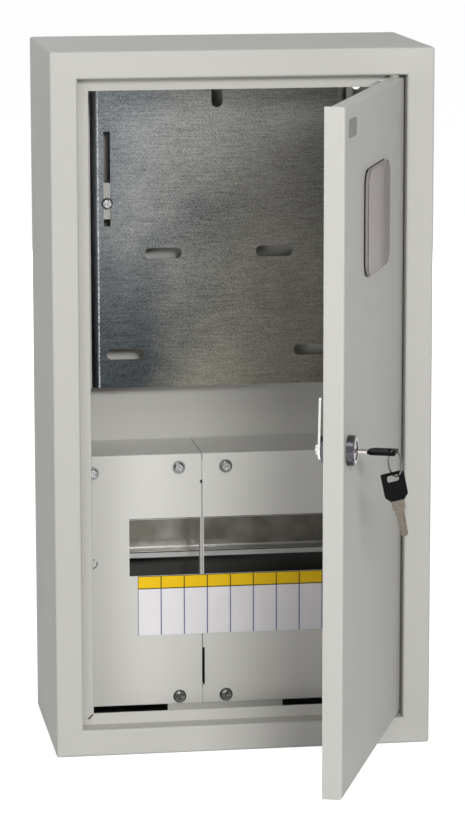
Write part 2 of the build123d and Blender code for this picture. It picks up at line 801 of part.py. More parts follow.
# Side posts: painted angles on the back wall, with a narrow front face beside the plate.
for side, name in ((-1, "side_post_left"), (1, "side_post_right")):
    post_inner = side * (plate_width / 2 + post_gap)
    post_outer = post_inner + side * post_flange
    with BuildPart() as side_post:
        with BuildSketch(Plane.XY.offset(plate_bottom)):
            with Locations((post_outer - side * bracket_sheet / 2, -(plate_stand_off + case_sheet) / 2)):
                Rectangle(bracket_sheet, plate_stand_off - case_sheet)
            with Locations((post_outer - side * bracket_foot / 2, -case_sheet - bracket_sheet / 2)):
                Rectangle(bracket_foot, bracket_sheet)
        extrude(amount=post_top - post_corner - plate_bottom)
        with BuildSketch(Plane.XZ.offset(plate_stand_off - bracket_sheet)) as front_face:
            with Locations(((post_inner + post_outer) / 2, plate_bottom)):
                Rectangle(post_flange, post_top - plate_bottom, align=(Align.CENTER, Align.MIN))
            fillet(front_face.vertices().group_by(Axis.Y)[-1], radius=post_corner)
        extrude(amount=bracket_sheet)
    write(side_post, name)

# Mounting rail: top-hat section on two bridges, with its screws.
with BuildPart() as din_rail:
    with BuildSketch(Plane.YZ.offset(-rail_length / 2)):
        with Locations((rail_sheet / 2 - rail_rear - rail_sheet, rail_z)):
            Rectangle(rail_sheet, rail_base)
        for side in (-1, 1):
            with Locations((-rail_rear - rail_depth / 2, rail_z + side * (rail_base - rail_sheet) / 2)):
                Rectangle(rail_depth, rail_sheet)
            lip = (rail_height - rail_base) / 2 + rail_sheet
            with Locations((rail_sheet / 2 - rail_front, rail_z + side * (rail_height - lip) / 2)):
                Rectangle(rail_sheet, lip)
    extrude(amount=rail_length)
    with BuildSketch(Plane.XZ.offset(rail_rear)):
        with Locations(*rail_spots):
            Circle(rail_screw_diameter / 2 + screw_hole_clearance)
    extrude(amount=rail_sheet, mode=Mode.SUBTRACT)
write(din_rail, "din_rail")

for side, name in ((-1, "rail_support_left"), (1, "rail_support_right")):
    with BuildPart() as rail_support:
        with BuildSketch(Plane.XY.offset(rail_z - rail_support_height / 2)):
            with Locations((side * rail_support_x, bracket_sheet / 2 - rail_rear)):
                Rectangle(rail_support_width, bracket_sheet)
            for leg in (-1, 1):
                leg_x = side * rail_support_x + leg * (rail_support_width - bracket_sheet) / 2
                with Locations((leg_x, -(rail_rear + case_sheet) / 2)):
                    Rectangle(bracket_sheet, rail_rear - case_sheet)
                foot_x = leg_x + leg * bracket_foot / 2
                with Locations((foot_x, -case_sheet - bracket_sheet / 2)):
                    Rectangle(bracket_foot + bracket_sheet, bracket_sheet)
        extrude(amount=rail_support_height)
        with BuildSketch(Plane.XZ.offset(rail_rear - bracket_sheet)):
            with Locations((side * rail_support_x, rail_z)):
                Circle(rail_screw_diameter / 2 + screw_hole_clearance)
        extrude(amount=bracket_sheet, mode=Mode.SUBTRACT)
    write(rail_support, name)

rail_screws = front_screws(
    rail_spots,
    rail_rear + rail_sheet,
    rail_screw_head,
    rail_screw_head_height,
    rail_screw_diameter,
    rail_screw_length,
)
write(rail_screws, "rail_screws")

# Cover panels: front sheets with a shelf folded back to the wall. They meet at a seam,
# where each has an edge folded back, and the breaker window is cut out of both.
def cover_panel_on(side_x, seam_edge, window_x, spots):
    """A panel from its outer side to the seam, cut out as far as the window's own edge."""
    inward = 1 if seam_edge < side_x else -1
    flange_inner = seam_edge + inward * cover_sheet
    with BuildPart() as panel:
        with BuildSketch(Plane.YZ.offset(seam_edge)) as fold:
            with Locations((-cover_front, cover_top)):
                Rectangle(
                    cover_front - case_sheet - cover_wall_gap,
                    cover_sheet,
                    align=(Align.MIN, Align.MAX),
                )
                Rectangle(cover_sheet, cover_top - cover_bottom, align=(Align.MIN, Align.MAX))
            fillet(fold.vertices().sort_by_distance((-cover_front, cover_top))[0], cover_fold_radius)
        extrude(amount=side_x - seam_edge)
        with BuildSketch(Plane.YZ.offset(seam_edge)):
            with Locations((-cover_rear, seam_flange_top)):
                Rectangle(
                    seam_flange - cover_sheet,
                    seam_flange_top - seam_flange_bottom,
                    align=(Align.MIN, Align.MAX),
                )
        extrude(amount=inward * cover_sheet)
        with BuildSketch(Plane.XZ.offset(cover_rear)):
            with Locations(((flange_inner + window_x) / 2, breaker_z)):
                Rectangle(abs(window_x - flange_inner), breaker_height)
            with Locations(*spots):
                Circle(cover_screw_hole / 2)
        extrude(amount=cover_sheet, mode=Mode.SUBTRACT)
    return panel.part


with BuildPart() as cover_panel_left:
    add(cover_panel_on(-cover_half_width, seam_left_edge, breaker_left, left_cover_spots))
    with BuildSketch(Plane.XZ.offset(cover_rear)):
        with Locations((seam_left_edge, seam_relief_z)):
            Circle(seam_relief_diameter / 2)
        # The seal's knock-out hangs on two bridges.
        with Locations((seal_knockout_x, breaker_bottom + seal_knockout_rise)):
            Circle(seal_knockout_diameter / 2)
            Circle(seal_knockout_diameter / 2 - seal_knockout_slot, mode=Mode.SUBTRACT)
            Rectangle(seal_knockout_diameter, seal_knockout_bridge, rotation=45, mode=Mode.SUBTRACT)
    extrude(amount=cover_sheet, mode=Mode.SUBTRACT)
write(cover_panel_left, "cover_panel_left")

with BuildPart() as cover_panel_right:
    add(cover_panel_on(cover_half_width, seam_right_edge, breaker_right, right_cover_spots))
    with BuildSketch(Plane.XZ.offset(cover_front - seam_flange)):
        with Locations((seam_right_edge, seam_slit_bottom)):
            Rectangle(seam_slit_depth, seam_slit_height, align=(Align.MIN, Align.MIN))
    extrude(amount=seam_flange, mode=Mode.SUBTRACT)
write(cover_panel_right, "cover_panel_right")

# Brackets that the cover panels screw to.
with BuildPart() as cover_bracket_top:
    with BuildSketch(Plane.XY.offset(web_bottom)):
        with Locations((0, bracket_sheet / 2 - cover_rear)):
            Rectangle(cover_bracket_width, bracket_sheet)
        for leg in (-1, 1):
            leg_x = leg * (cover_bracket_width - bracket_sheet) / 2
            with Locations((leg_x, -(cover_rear + case_sheet) / 2)):
                Rectangle(bracket_sheet, cover_rear - case_sheet)
            with Locations((leg_x + leg * bracket_foot / 2, -case_sheet - bracket_sheet / 2)):
                Rectangle(bracket_foot + bracket_sheet, bracket_sheet)
    extrude(amount=cover_bracket_height)
    with BuildSketch(Plane.XZ.offset(cover_rear - bracket_sheet)):
        with Locations(left_cover_spots[1], right_cover_spots[1]):
            Circle(cover_screw_diameter / 2 + screw_hole_clearance)
    extrude(amount=bracket_sheet, mode=Mode.SUBTRACT)
write(cover_bracket_top, "cover_bracket_top")

with BuildPart() as cover_bracket_bottom:
    with BuildSketch(Plane.YZ.offset(cover_bracket_bottom_x - cover_bracket_bottom_width / 2)):
        with Locations((-cover_rear, case_floor)):
            Rectangle(bracket_sheet, bottom_web_top - case_floor, align=(Align.MIN, Align.MIN))
            Rectangle(cover_bracket_bottom_foot, bracket_sheet, align=(Align.MIN, Align.MIN))
    extrude(amount=cover_bracket_bottom_width)
    with BuildSketch(Plane.XZ.offset(cover_rear - bracket_sheet)):
        with Locations(left_cover_spots[2], right_cover_spots[2]):
            Circle(cover_screw_diameter / 2 + screw_hole_clearance)
    extrude(amount=bracket_sheet, mode=Mode.SUBTRACT)
write(cover_bracket_bottom, "cover_bracket_bottom")

for side, name in ((-1, "cover_tab_left"), (1, "cover_tab_right")):
    with BuildPart() as cover_tab:
        tab_x = side * cover_screw_side_x
        leg_x = side * (cover_screw_side_x + (cover_tab_width - bracket_sheet) / 2)
        with BuildSketch(Plane.XY.offset(cover_screw_side_z - cover_bracket_height / 2)):
            with Locations((tab_x, bracket_sheet / 2 - cover_rear)):
                Rectangle(cover_tab_width, bracket_sheet)
            with Locations((leg_x, -(cover_rear + case_sheet) / 2)):
                Rectangle(bracket_sheet, cover_rear - case_sheet)
            with Locations((leg_x - side * bracket_foot / 2, -case_sheet - bracket_sheet / 2)):
                Rectangle(bracket_foot + bracket_sheet, bracket_sheet)
        extrude(amount=cover_bracket_height)
        with BuildSketch(Plane.XZ.offset(cover_rear - bracket_sheet)):
            with Locations((tab_x, cover_screw_side_z)):
                Circle(cover_screw_diameter / 2 + screw_hole_clearance)
        extrude(amount=bracket_sheet, mode=Mode.SUBTRACT)
    write(cover_tab, name)

with BuildPart() as cover_washers:
    with BuildSketch(Plane.XZ.offset(cover_front)):
        with Locations(*cover_spots):
            Circle(cover_washer_diameter / 2)
            Circle(cover_screw_hole / 2, mode=Mode.SUBTRACT)
    extrude(amount=cover_washer_thickness)
write(cover_washers, "cover_washers")

cover_screws = front_screws(
    cover_spots,
    cover_front + cover_washer_thickness,
    cover_screw_head,
    cover_screw_head_height,
    cover_screw_diameter,
    cover_screw_length,
)
write(cover_screws, "cover_screws")

with BuildPart() as label_strip:
    with BuildSketch(Plane.XZ.offset(cover_front)):
        with Locations((label_left, breaker_bottom - label_gap)):
            Rectangle(label_field_width * label_field_count, label_height, align=(Align.MIN, Align.MAX))
    extrude(amount=label_thickness)
write(label_strip, "label_strip")


# Earth and neutral bars: drilled brass with clamp screws, on spacers and on insulators.
def terminal_bar(bar_z, seat):
    """A brass bar whose rear face stands the given distance in front of the back plane."""
    with BuildPart() as bar:
        with BuildSketch(Plane.XZ.offset(seat)):
            with Locations((bar_x, bar_z)):
                Rectangle(bar_length, bar_height)
        extrude(amount=bar_depth)
        with BuildSketch(Plane.XY.offset(bar_z - bar_height / 2)):
            with Locations((bar_x, -seat - bar_depth / 2)):
                with GridLocations(bar_hole_pitch, 0, bar_hole_count, 1):
                    Circle(bar_hole / 2)
        extrude(amount=bar_height, mode=Mode.SUBTRACT)
        with BuildSketch(Plane.XZ.offset(seat)):
            with Locations((bar_x, bar_z)):
                with GridLocations(bar_fixing_pitch, 0, 2, 1):
                    Circle(bar_screw_diameter / 2 + screw_hole_clearance)
        extrude(amount=bar_depth, mode=Mode.SUBTRACT)
    return bar


def bar_fixings(bar_z, seat):
    """The two screws that hold a bar at its ends."""
    ends = [(bar_x - bar_fixing_pitch / 2, bar_z), (bar_x + bar_fixing_pitch / 2, bar_z)]
    return front_screws(
        ends,
        seat + bar_depth,
        bar_screw_head,
        bar_screw_head_height,
        bar_screw_diameter,
        bar_screw_length,
    )


earth_seat = case_sheet + earth_spacer_length
with BuildPart() as earth_spacers:
    with BuildSketch(Plane.XZ.offset(case_sheet)):
        with Locations((bar_x, earth_bar_z)):
            with GridLocations(bar_fixing_pitch, 0, 2, 1):
                Circle(earth_spacer_diameter / 2)
    extrude(amount=earth_spacer_length)
write(earth_spacers, "earth_spacers")
earth_bar = terminal_bar(earth_bar_z, earth_seat)
write(earth_bar, "earth_bar")
earth_bar_screws = bar_fixings(earth_bar_z, earth_seat)
write(earth_bar_screws, "earth_bar_screws")

neutral_seat = case_sheet + insulator_length
with BuildPart() as neutral_insulators:
    with BuildSketch(Plane.XZ.offset(case_sheet)):
        with Locations((bar_x, neutral_bar_z)):
            with GridLocations(bar_fixing_pitch, 0, 2, 1):
                Rectangle(insulator_width, insulator_width)
    extrude(amount=insulator_length)
    with BuildSketch(Plane.XZ.offset(case_sheet + insulator_length / 3)):
        with Locations((bar_x, neutral_bar_z)):
            with GridLocations(bar_fixing_pitch, 0, 2, 1):
                Rectangle(2 * insulator_width, 2 * insulator_width)
                Rectangle(
                    insulator_width - 2 * insulator_waist,
                    insulator_width - 2 * insulator_waist,
                    mode=Mode.SUBTRACT,
                )
    extrude(amount=insulator_length / 3, mode=Mode.SUBTRACT)
write(neutral_insulators, "neutral_insulators")
neutral_bar = terminal_bar(neutral_bar_z, neutral_seat)
write(neutral_bar, "neutral_bar")
neutral_bar_screws = bar_fixings(neutral_bar_z, neutral_seat)
write(neutral_bar_screws, "neutral_bar_screws")

# Earth stud on the back wall, with its washer and nut.
with BuildPart() as earth_stud:
    with BuildSketch(Plane.XZ.offset(case_sheet)):
        with Locations((stud_x, stud_z)):
            Circle(stud_diameter / 2)
    extrude(amount=stud_length)
write(earth_stud, "earth_stud")

with BuildPart() as earth_washer:
    with BuildSketch(Plane.XZ.offset(case_sheet)):
        with Locations((stud_x, stud_z)):
            Circle(stud_washer_diameter / 2)
            Circle(stud_diameter / 2 + stud_bore_clearance, mode=Mode.SUBTRACT)
    extrude(amount=stud_washer_thickness)
write(earth_washer, "earth_washer")

with BuildPart() as earth_nut:
    with BuildSketch(Plane.XZ.offset(case_sheet + stud_washer_thickness)):
        with Locations((stud_x, stud_z)):
            RegularPolygon(stud_nut_across_flats / 2, side_count=6, major_radius=False)
            Circle(stud_diameter / 2 + stud_bore_clearance, mode=Mode.SUBTRACT)
    extrude(amount=stud_nut_height)
write(earth_nut, "earth_nut")
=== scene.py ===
"""Looks of a wall-mounted meter and breaker enclosure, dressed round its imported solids."""

import math

import bmesh
import bpy
from mathutils import Matrix, Vector


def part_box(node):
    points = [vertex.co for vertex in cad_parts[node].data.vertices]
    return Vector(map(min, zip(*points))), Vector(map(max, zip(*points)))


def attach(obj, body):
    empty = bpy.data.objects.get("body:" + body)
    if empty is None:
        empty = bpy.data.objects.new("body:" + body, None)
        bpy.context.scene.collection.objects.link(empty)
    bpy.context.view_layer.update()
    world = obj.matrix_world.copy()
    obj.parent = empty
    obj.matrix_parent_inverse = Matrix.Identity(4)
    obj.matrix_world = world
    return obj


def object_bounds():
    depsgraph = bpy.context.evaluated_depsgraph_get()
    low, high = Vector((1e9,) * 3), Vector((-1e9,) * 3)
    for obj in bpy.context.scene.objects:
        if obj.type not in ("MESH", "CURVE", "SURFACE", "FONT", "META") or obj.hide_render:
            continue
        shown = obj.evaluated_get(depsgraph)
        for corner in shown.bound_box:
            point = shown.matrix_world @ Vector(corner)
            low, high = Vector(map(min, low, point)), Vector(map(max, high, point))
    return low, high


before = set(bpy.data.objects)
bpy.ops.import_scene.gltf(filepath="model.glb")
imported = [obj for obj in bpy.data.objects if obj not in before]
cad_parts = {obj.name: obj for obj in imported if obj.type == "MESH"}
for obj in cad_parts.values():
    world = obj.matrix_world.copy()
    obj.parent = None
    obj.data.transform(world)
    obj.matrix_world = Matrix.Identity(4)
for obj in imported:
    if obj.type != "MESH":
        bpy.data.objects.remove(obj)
cad_low, cad_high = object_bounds()

MM = 0.001

# Where the camera stands and looks, and the photograph's frame in pixels.
CAMERA_AT = Vector((-379.8, -2608.2, 454.6)) * MM
CAMERA_LOOKS_AT = Vector((14.1, 0.0, -35.1)) * MM
CAMERA_ROLL = math.radians(-0.09)
FOCAL_PIXELS = 3462.0
FRAME_HEIGHT_PIXELS = 832
SENSOR = 36.0

# The door's directions at rest: along it to the hinge edge, and out of its face.
DOOR_OPEN = math.radians(69.0)
DOOR_ALONG = Vector((math.cos(DOOR_OPEN), math.sin(DOOR_OPEN), 0.0))
DOOR_OUT = Vector((math.sin(DOOR_OPEN), -math.cos(DOOR_OPEN), 0.0))
HINGE = Vector((111.3, -143.5, 0.0)) * MM
DOOR_FREE_EDGE = -229.1 * MM
DOOR_FACE = 6.5 * MM

# The window pane's lip above the door's face: painted shade at its root, then a painted highlight.
PANE_ROOT = 0.7 * MM
PANE_LIP = 1.1 * MM

# The shell's painted shade: how far behind the covers' front and below their shelf it starts, and
# half the sheet, so that the coat outside stays clear of it.
SHADE_BEHIND = 4.0 * MM
SHADE_BELOW = 2.0 * MM
HALF_SHEET = 0.6 * MM

# The meter plate from its left edge: where cool zinc ends, where warm zinc begins, and how
# far the clouds move that change.
PLATE_COOL = 20.0 * MM
PLATE_WARM = 100.0 * MM
PLATE_DRIFT = 30.0 * MM

# Its bends: their radius, the run over which a painted highlight brightens them, and half a
# crease's line of painted highlight.
PLATE_FOLD = 5.0 * MM
PLATE_BEND_RUN = 1.5 * MM
PLATE_CREASE = 0.5 * MM

# How far down from the case's top edge the plate is darkened as painted shade.
PLATE_SHADED_TOP = 16.0 * MM

# The mounting rail outwards from its middle line: a crease with a painted highlight and half its
# line, then the wall in painted shade and the lip with a painted highlight, and the run over which
# each tone changes.
RAIL_CREASE_AT = 12.3 * MM
RAIL_CREASE = 0.5 * MM
RAIL_WALL = 12.8 * MM
RAIL_LIP = 13.6 * MM
RAIL_RUN = 0.2 * MM

# The label strip: width of a field, height of the coloured band, half a ruled line.
LABEL_FIELD = 17.75 * MM
LABEL_BAND = 9.7 * MM
LABEL_RULE = 0.42 * MM

# The blank badge on the door, with its place from the free edge and above the middle.
BADGE_WIDTH = 25.0 * MM
BADGE_HEIGHT = 12.0 * MM
BADGE_THICKNESS = 0.8 * MM
BADGE_CORNER = 1.5 * MM
BADGE_RIM = 0.7 * MM
BADGE_STEP = 0.2 * MM
BADGE_FROM_EDGE = 27.0 * MM
BADGE_UP = 221.5 * MM

# Light: watts of the softboxes and strength of the surround as diffuse light.
KEY_WATTS = 32.0
FILL_WATTS = 10.0
GLINT_WATTS = 4.0
HIGH_WATTS = 9.0
SIDE_WATTS = 0.3
BACK_WATTS = 26.0
AMBIENT = 0.19
WHITE = (1.0, 1.0, 1.0, 1.0)

# The floor: half its width, its drop below the object, and its glow to the eye.
FLOOR_HALF = 30.0
FLOOR_DROP = 0.2 * MM
FLOOR_GLOW = 0.88

# Most of a noise pattern lies between these two values.
NOISE_LOW, NOISE_HIGH = 0.3, 0.7

# A mix node's colour sockets, which share their names with its number sockets.
MIX_A, MIX_B = 6, 7


# Colours, nodes and materials


def linear(colour):
    """An sRGB hex colour as linear RGBA."""
    channels = [int(colour[i : i + 2], 16) / 255 for i in (1, 3, 5)]
    return (
        *((c / 12.92 if c <= 0.04045 else ((c + 0.055) / 1.055) ** 2.4) for c in channels),
        1.0,
    )


def per(size_mm):
    """Pattern scale at which one feature is about as large as given."""
    return 1.0 / (size_mm * MM)


def node(tree, kind, inputs=(), **settings):
    """Adds one node with its settings, and sets or links its inputs.

    Inputs are given by socket, or in the sockets' order. A node given as an input is
    linked from its first live output.
    """
    made = tree.nodes.new(kind)
    for name, value in settings.items():
        setattr(made, name, value)
    given = inputs if isinstance(inputs, dict) else dict(enumerate(inputs))
    for socket, value in given.items():
        if isinstance(value, bpy.types.Node):
            value = next(output for output in value.outputs if output.enabled)
        if isinstance(value, bpy.types.NodeSocket):
            tree.links.new(value, made.inputs[socket])
        else:
            made.inputs[socket].default_value = value
    return made


def blank_material(name):
    """An empty material and its node tree."""
    material = bpy.data.materials.new(name)
    material.use_nodes = True
    material.node_tree.nodes.clear()
    return material, material.node_tree


def powder_coat(name, light, dark, painted_shade=None, shaded_box=None):
    """Polyester powder coat baked on sheet steel: satin, faintly pebbled, a little uneven.

    Inside the given box, a dark grey is painted in over the coat as shade.
    """
    material, tree = blank_material(name)
    place = node(tree, "ShaderNodeTexCoord").outputs["Object"]
    drift = node(tree, "ShaderNodeTexNoise", {"Vector": place, "Scale": per(140), "Detail": 3.0})
    colour = node(
        tree,
        "ShaderNodeMix",
        {"Factor": drift, MIX_A: linear(dark), MIX_B: linear(light)},
        data_type="RGBA",
    )
    # Painted shade: a dark grey inside the given box.
    if shaded_box is not None:
        at = node(tree, "ShaderNodeSeparateXYZ", (place,)).outputs
        in_shade = 1.0
        for axis, (start, end) in zip("XYZ", zip(*shaded_box)):
            middle, reach = (start + end) / 2, (end - start) / 2
            inside = node(tree, "ShaderNodeMath", (at[axis], middle, reach), operation="COMPARE")
            in_shade = node(tree, "ShaderNodeMath", (inside, in_shade), operation="MULTIPLY")
        colour = node(
            tree,
            "ShaderNodeMix",
            {"Factor": in_shade, MIX_A: colour, MIX_B: linear(painted_shade)},
            data_type="RGBA",
        )
    rubbed = node(tree, "ShaderNodeTexNoise", {"Vector": place, "Scale": per(35), "Detail": 4.0})
    sheen = node(tree, "ShaderNodeMapRange", (rubbed, 0.0, 1.0, 0.43, 0.57))
    # The real pebble is about 0.5 mm across, so it is drawn coarser to show at all.
    pebble = node(tree, "ShaderNodeTexNoise", {"Vector": place, "Scale": per(1.6), "Detail": 2.0})
    bump = node(
        tree, "ShaderNodeBump", {"Height": pebble, "Strength": 0.12, "Distance": 0.2 * MM}
    )
    shader = node(
        tree,
        "ShaderNodeBsdfPrincipled",
        {
            "Base Color": colour,
            "Roughness": sheen,
            "Normal": bump,
            "IOR": 1.5,
            "Specular IOR Level": 0.25,
        },
    )
    node(tree, "ShaderNodeOutputMaterial", {"Surface": shader})
    return material


def galvanised_sheet(name, low, high):
    """Hot-dip galvanised sheet: fine zinc grain, rolling lines and cloudy patches.

    It goes from cool at the left to warm at the right, and grows lighter upwards as a painted
    reflection of the lamps.
    """
    material, tree = blank_material(name)
    place = node(tree, "ShaderNodeTexCoord").outputs["Object"]
    at = node(tree, "ShaderNodeSeparateXYZ", (place,)).outputs
    cloud = node(tree, "ShaderNodeTexNoise", {"Vector": place, "Scale": per(90), "Detail": 4.0})
    grain = node(tree, "ShaderNodeTexNoise", {"Vector": place, "Scale": per(0.9), "Detail": 2.0})
    # Real rolling lines are a few tenths of a millimetre apart. They are drawn coarser to show.
    drawn = node(tree, "ShaderNodeMapping", {"Vector": place, "Scale": (0.08, 1.0, 1.0)})
    rolled = node(tree, "ShaderNodeTexNoise", {"Vector": drawn, "Scale": per(1.3), "Detail": 3.0})

    wander = node(
        tree, "ShaderNodeMapRange", (cloud, NOISE_LOW, NOISE_HIGH, -PLATE_DRIFT, PLATE_DRIFT)
    )
    moved = node(tree, "ShaderNodeMath", (wander, at["X"]), operation="ADD")
    across = node(
        tree, "ShaderNodeMapRange", (moved, low.x + PLATE_COOL, low.x + PLATE_WARM, 0.0, 1.0)
    )
    # Lighter upwards: a painted reflection of the lamps.
    upward = node(tree, "ShaderNodeMapRange", (at["Z"], low.z, high.z, 0.0, 1.0))
    cool = node(
        tree,
        "ShaderNodeMix",
        {"Factor": upward, MIX_A: linear("#52585b"), MIX_B: linear("#a9afb3")},
        data_type="RGBA",
    )
    warm = node(
        tree,
        "ShaderNodeMix",
        {"Factor": upward, MIX_A: linear("#a8a498"), MIX_B: linear("#bfc0bc")},
        data_type="RGBA",
    )
    base = node(
        tree, "ShaderNodeMix", {"Factor": across, MIX_A: cool, MIX_B: warm}, data_type="RGBA"
    )

    # The bends stand this far to either side of the plate's middle.
    middle = (low.x + high.x) / 2
    bend_at = high.x - middle - PLATE_FOLD
    off = node(tree, "ShaderNodeMath", (at["X"], middle), operation="SUBTRACT")
    away = node(tree, "ShaderNodeMath", (off,), operation="ABSOLUTE")

    # Clouds, grain and rolling lines lighten and darken the zinc about its own tone. Under
    # the case's top edge the sheet is darkened as painted shade, and round its bends it is
    # lightened as a painted highlight.
    mottle_and_painted_light = node(tree, "ShaderNodeMapRange", (cloud, NOISE_LOW, NOISE_HIGH, 0.55, 0.85))
    for pattern, start, end, to_start, to_end in (
        (grain, NOISE_LOW, NOISE_HIGH, -0.3, 0.3),
        (rolled, NOISE_LOW, NOISE_HIGH, -0.12, 0.12),
        (at["Z"], high.z - PLATE_SHADED_TOP, high.z, 0.0, -0.3),
        (away, bend_at, bend_at + PLATE_BEND_RUN, 0.0, 0.8),
    ):
        change = node(tree, "ShaderNodeMapRange", (pattern, start, end, to_start, to_end))
        mottle_and_painted_light = node(tree, "ShaderNodeMath", (mottle_and_painted_light, change), operation="ADD")
    tone = node(tree, "ShaderNodeVectorMath", {0: base, "Scale": mottle_and_painted_light}, operation="SCALE")

    # A painted highlight runs down each crease as a broken line.
    crease = node(tree, "ShaderNodeMath", (away, bend_at, PLATE_CREASE), operation="COMPARE")
    highlight_breaks = node(tree, "ShaderNodeTexNoise", {"Vector": place, "Scale": per(2.5), "Detail": 3.0})
    broken = node(tree, "ShaderNodeMapRange", (highlight_breaks, 0.4, 0.6, 0.15, 0.9))
    line = node(tree, "ShaderNodeMath", (crease, broken), operation="MULTIPLY")
    colour = node(
        tree,
        "ShaderNodeMix",
        {"Factor": line, MIX_A: tone, MIX_B: linear("#e4e9ec")},
        data_type="RGBA",
    )
    sheen = node(tree, "ShaderNodeMapRange", (grain, NOISE_LOW, NOISE_HIGH, 0.48, 0.34))
    bump = node(
        tree, "ShaderNodeBump", {"Height": grain, "Strength": 0.2, "Distance": 0.15 * MM}
    )
    shader = node(
        tree,
        "ShaderNodeBsdfPrincipled",
        {"Base Color": colour, "Metallic": 1.0, "Roughness": sheen, "Normal": bump},
    )
    node(tree, "ShaderNodeOutputMaterial", {"Surface": shader})
    return material


def rolled_rail(name, middle):
    """Zinc-plated, cold-rolled steel: a stained, dull base between lips in painted highlight, with
    painted shade on the walls and a painted highlight along the creases.
    """
    material, tree = blank_material(name)
    place = node(tree, "ShaderNodeTexCoord").outputs["Object"]
    height = node(tree, "ShaderNodeSeparateXYZ", (place,)).outputs["Z"]
    off = node(tree, "ShaderNodeMath", (height, middle), operation="SUBTRACT")
    away = node(tree, "ShaderNodeMath", (off,), operation="ABSOLUTE")
    crease = node(
        tree, "ShaderNodeMath", (away, RAIL_CREASE_AT, RAIL_CREASE), operation="COMPARE"
    )
    wall = node(tree, "ShaderNodeMapRange", (away, RAIL_WALL, RAIL_WALL + RAIL_RUN, 0.0, 1.0))
    lip = node(tree, "ShaderNodeMapRange", (away, RAIL_LIP, RAIL_LIP + RAIL_RUN, 0.0, 1.0))

    # Real rolling lines are a few tenths of a millimetre apart. They are drawn coarser to show.
    drawn = node(tree, "ShaderNodeMapping", {"Vector": place, "Scale": (0.03, 1.0, 1.0)})
    lines = node(tree, "ShaderNodeTexNoise", {"Vector": drawn, "Scale": per(1.6), "Detail": 3.0})
    stain = node(tree, "ShaderNodeTexNoise", {"Vector": place, "Scale": per(26), "Detail": 4.0})
    stained = node(tree, "ShaderNodeMapRange", (stain, 0.35, 0.65, 0.0, 1.0))
    dull = node(
        tree,
        "ShaderNodeMix",
        {"Factor": stained, MIX_A: linear("#7c786f"), MIX_B: linear("#a5a29a")},
        data_type="RGBA",
    )
    bright = node(
        tree,
        "ShaderNodeMix",
        {"Factor": lines, MIX_A: linear("#dad9d4"), MIX_B: linear("#ffffff")},
        data_type="RGBA",
    )
    # Painted highlight on the crease and the lip, painted shade on the wall.
    colour = dull
    for part, tone in ((crease, bright), (wall, linear("#45423d")), (lip, bright)):
        colour = node(
            tree, "ShaderNodeMix", {"Factor": part, MIX_A: colour, MIX_B: tone}, data_type="RGBA"
        )
    # The lips are rubbed smooth and scatter light as a zinc film, as a metal alone doesn't; their
    # pale colour is a painted highlight.
    sheen = node(tree, "ShaderNodeMapRange", (lip, 0.0, 1.0, 0.28, 0.1))
    metal = node(tree, "ShaderNodeMapRange", (lip, 0.0, 1.0, 0.7, 0.2))
    bump = node(
        tree, "ShaderNodeBump", {"Height": lines, "Strength": 0.25, "Distance": 0.2 * MM}
    )
    shader = node(
        tree,
        "ShaderNodeBsdfPrincipled",
        {"Base Color": colour, "Metallic": metal, "Roughness": sheen, "Normal": bump},
    )
    node(tree, "ShaderNodeOutputMaterial", {"Surface": shader})
    return material


def plated_metal(name, light, dark, rough, streaks=(1.0, 1.0, 1.0), dents=0.0):
    """Turned, rolled or drawn metal, mostly plated: bright, with faint tool marks, which become
    painted glints where light and dark lie far apart.
    """
    material, tree = blank_material(name)
    place = node(tree, "ShaderNodeTexCoord").outputs["Object"]
    # Real tool marks are about 0.1 mm apart, so they are drawn coarser to show at all. Where light
    # and dark lie far apart, the same marks are painted glints.
    drawn = node(tree, "ShaderNodeMapping", {"Vector": place, "Scale": streaks})
    marks_and_glints = node(tree, "ShaderNodeTexNoise", {"Vector": drawn, "Scale": per(1.2), "Detail": 3.0})
    colour = node(
        tree,
        "ShaderNodeMix",
        {"Factor": marks_and_glints, MIX_A: linear(dark), MIX_B: linear(light)},
        data_type="RGBA",
    )
    sheen = node(tree, "ShaderNodeMapRange", (marks_and_glints, 0.0, 1.0, rough * 0.7, rough * 1.3))
    sockets = {"Base Color": colour, "Metallic": 1.0, "Roughness": sheen}
    if dents:
        sockets["Normal"] = node(
            tree, "ShaderNodeBump", {"Height": marks_and_glints, "Strength": dents, "Distance": 0.5 * MM}
        )
    shader = node(tree, "ShaderNodeBsdfPrincipled", sockets)
    node(tree, "ShaderNodeOutputMaterial", {"Surface": shader})
    return material


def moulded_plastic(name, light, dark, rough, grain_mm, shine=0.5):
    """Injection-moulded plastic: a fine spark-eroded grain over an even colour."""
    material, tree = blank_material(name)
    place = node(tree, "ShaderNodeTexCoord").outputs["Object"]
    # The real grain is about 0.1 mm across, so it is drawn coarser to show at all.
    grain = node(
        tree, "ShaderNodeTexNoise", {"Vector": place, "Scale": per(grain_mm), "Detail": 2.0}
    )
    colour = node(
        tree,
        "ShaderNodeMix",
        {"Factor": grain, MIX_A: linear(dark), MIX_B: linear(light)},
        data_type="RGBA",
    )
    sheen = node(tree, "ShaderNodeMapRange", (grain, 0.0, 1.0, rough - 0.08, rough + 0.08))
    bump = node(
        tree, "ShaderNodeBump", {"Height": grain, "Strength": 0.15, "Distance": 0.1 * MM}
    )
    shader = node(
        tree,
        "ShaderNodeBsdfPrincipled",
        {
            "Base Color": colour,
            "Roughness": sheen,
            "Normal": bump,
            "IOR": 1.5,
            "Specular IOR Level": shine,
        },
    )
    node(tree, "ShaderNodeOutputMaterial", {"Surface": shader})
    return material


